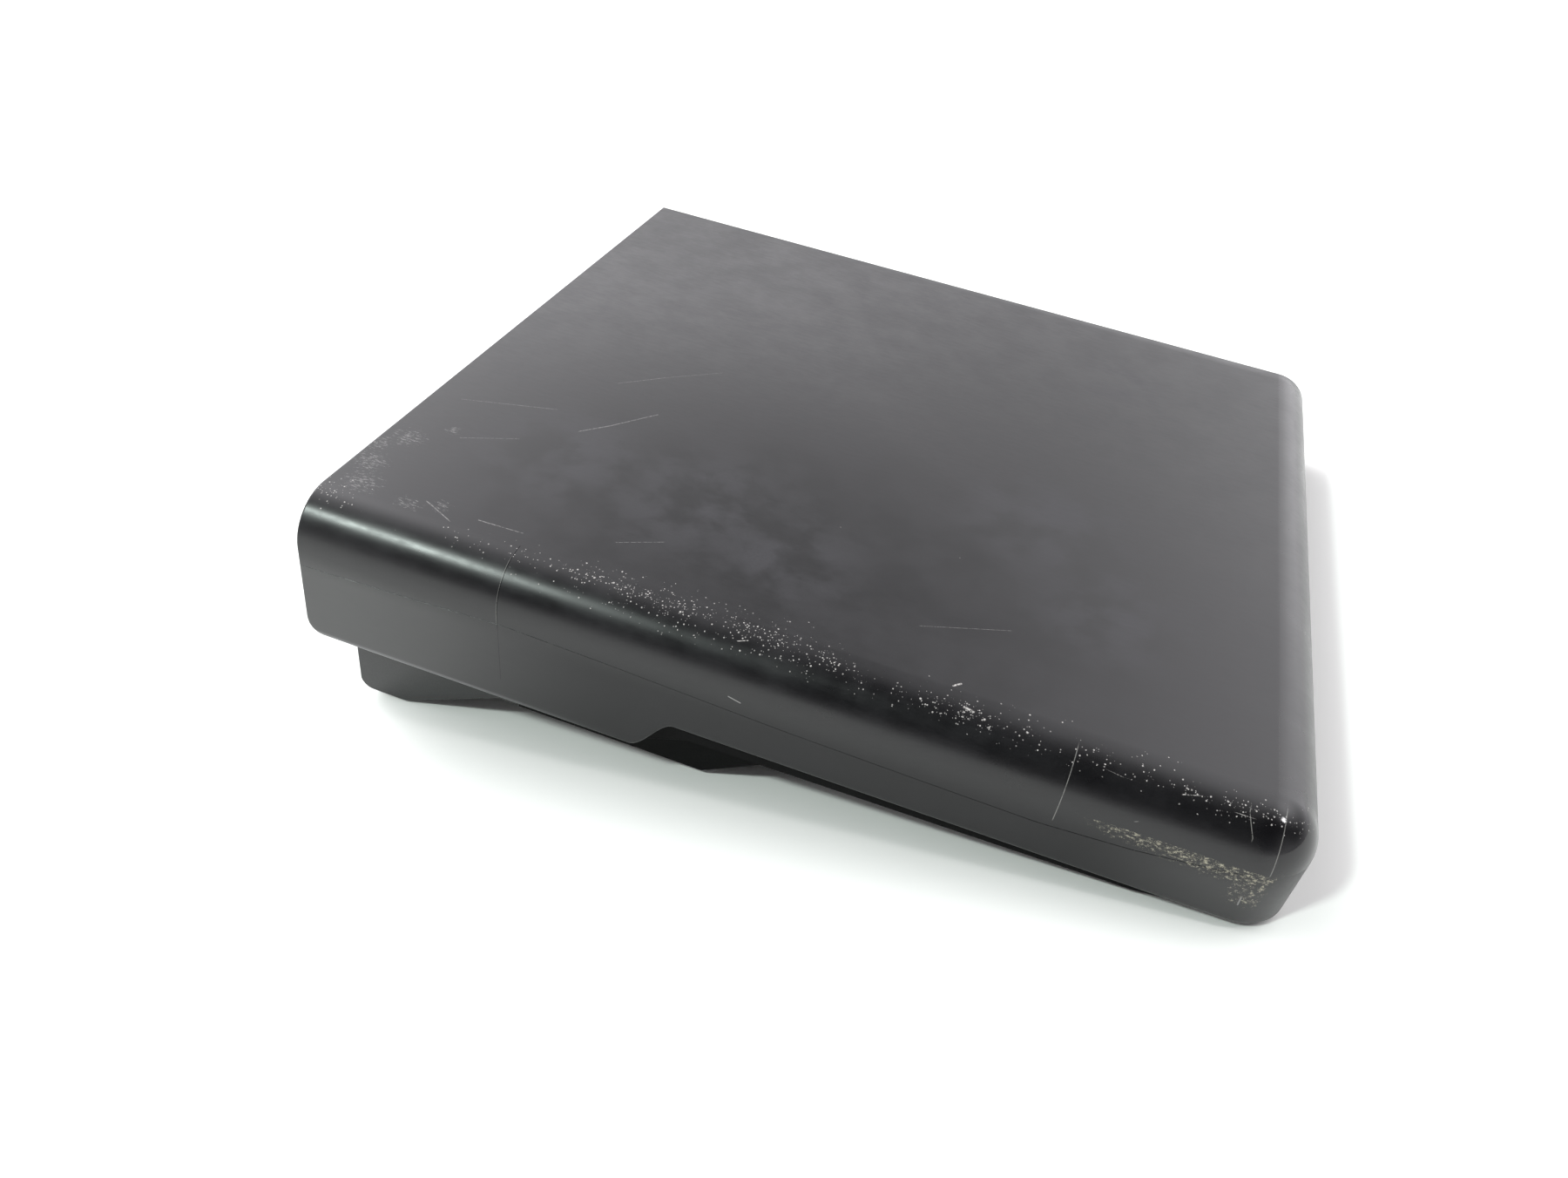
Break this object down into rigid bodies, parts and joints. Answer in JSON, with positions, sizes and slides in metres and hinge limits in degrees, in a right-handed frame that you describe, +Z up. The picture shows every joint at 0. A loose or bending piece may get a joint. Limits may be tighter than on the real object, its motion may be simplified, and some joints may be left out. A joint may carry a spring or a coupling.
{
  "type": "standing desk converter",
  "caption": "Laptop-size standing desk converter, lowered: a sloped charcoal work surface with a rounded skirt closes over a stepped base with a scissor lift, hand brake and rubber feet.",
  "frame": {"origin": "centre of the outer box at table level", "axes": "+Z up from the table, +X from the high rear edge towards the low front edge where the user is, +Y from the user's left hand to the right hand. The work surface slopes down 8.2 degrees towards +X."},
  "size_m": [0.3313, 0.303, 0.0868],
  "materials": {
    "charcoal_moulding": "semi-matt moulded charcoal plastic with fine scratches and pale scuffs along the front top edge",
    "charcoal_base": "semi-matt moulded charcoal plastic",
    "matt_black": "matt black moulded plastic",
    "plated_steel": "zinc-plated steel",
    "black_steel": "black powder-coated steel",
    "foot_rubber": "matt black rubber",
    "glide_nylon": "natural nylon",
    "brake_lining": "woven friction lining"
  },
  "bodies": {
    "base": {"rear_foot": "charcoal_base", "base_pan": "matt_black", "base_joint_plate": "plated_steel", "joint_screw_1": "plated_steel", "joint_screw_2": "plated_steel", "joint_screw_3": "plated_steel", "joint_screw_4": "plated_steel", "base_rail_left": "plated_steel", "base_rail_right": "plated_steel", "rear_bracket_left": "plated_steel", "rear_bracket_right": "plated_steel", "lower_rear_axle": "plated_steel", "lower_axle_clip_left": "plated_steel", "lower_axle_clip_right": "plated_steel", "rubber_foot_rear_left": "foot_rubber", "rubber_foot_rear_right": "foot_rubber", "rubber_foot_front_left": "foot_rubber", "rubber_foot_front_right": "foot_rubber", "torsion_spring_left": "plated_steel", "torsion_spring_right": "plated_steel", "spring_anchor_left": "plated_steel", "spring_anchor_right": "plated_steel", "lever_bearing": "plated_steel", "lever_spring": "plated_steel"},
    "outer_arms": {"outer_arm_left": "black_steel", "outer_arm_right": "black_steel", "crossing_pin_left": "plated_steel", "crossing_pin_right": "plated_steel", "outer_spreader_rear": "black_steel", "outer_spreader_front": "black_steel", "brake_drum": "black_steel"},
    "inner_arms": {"inner_arm_left": "black_steel", "inner_arm_right": "black_steel", "inner_spreader_rear": "black_steel", "inner_spreader_front": "black_steel"},
    "deck": {"worktop_shell": "charcoal_moulding", "rear_end_cap": "charcoal_moulding", "side_end_cap": "charcoal_moulding", "inner_lip_left": "matt_black", "inner_lip_right": "matt_black", "underframe_panel": "black_steel", "top_rail_left": "plated_steel", "top_rail_right": "plated_steel", "deck_bracket_left": "plated_steel", "deck_bracket_right": "plated_steel", "upper_rear_axle": "plated_steel", "upper_axle_clip_left": "plated_steel", "upper_axle_clip_right": "plated_steel"},
    "upper_glide": {"upper_glide_shaft": "plated_steel", "upper_glide_left": "glide_nylon", "upper_glide_right": "glide_nylon"},
    "lower_glide": {"lower_glide_shaft": "plated_steel", "lower_glide_left": "glide_nylon", "lower_glide_right": "glide_nylon"},
    "release": {"release_lever": "charcoal_base", "lever_shaft": "plated_steel", "brake_arm": "plated_steel", "brake_shoe": "brake_lining"}
  },
  "joints": [
    {"name": "lift", "type": "hinge", "parent": "base", "child": "outer_arms", "pos_m": [-0.13181, 0, 0.04955], "axis": [0, -1, 0], "range_deg": [0, 63.5]},
    {"name": "scissor_cross", "type": "hinge", "parent": "outer_arms", "child": "inner_arms", "pos_m": [-0.0001, 0, 0.04092], "axis": [0, -1, 0], "range_deg": [-127, 0]},
    {"name": "deck_pivot", "type": "hinge", "parent": "inner_arms", "child": "deck", "pos_m": [-0.12889, 0, 0.06984], "axis": [0, -1, 0], "range_deg": [0, 63.5]},
    {"name": "upper_glide_pivot", "type": "hinge", "parent": "outer_arms", "child": "upper_glide", "pos_m": [0.13162, 0, 0.0323], "axis": [0, -1, 0], "range_deg": [-63.5, 0]},
    {"name": "lower_glide_pivot", "type": "hinge", "parent": "inner_arms", "child": "lower_glide", "pos_m": [0.1287, 0, 0.01201], "axis": [0, -1, 0], "range_deg": [0, 63.5]},
    {"name": "release_press", "type": "hinge", "parent": "base", "child": "release", "pos_m": [-0.10993, 0.1215, 0.01912], "axis": [0, -1, 0], "range_deg": [0, 12], "stiffness_Nm_per_rad": 0.5, "springref_deg": -11.46}
  ],
  "couplings": [
    {"joint": "scissor_cross", "follows": "lift", "ratio": -2},
    {"joint": "deck_pivot", "follows": "lift", "ratio": 1},
    {"joint": "upper_glide_pivot", "follows": "lift", "ratio": -1},
    {"joint": "lower_glide_pivot", "follows": "lift", "ratio": 1}
  ]
}
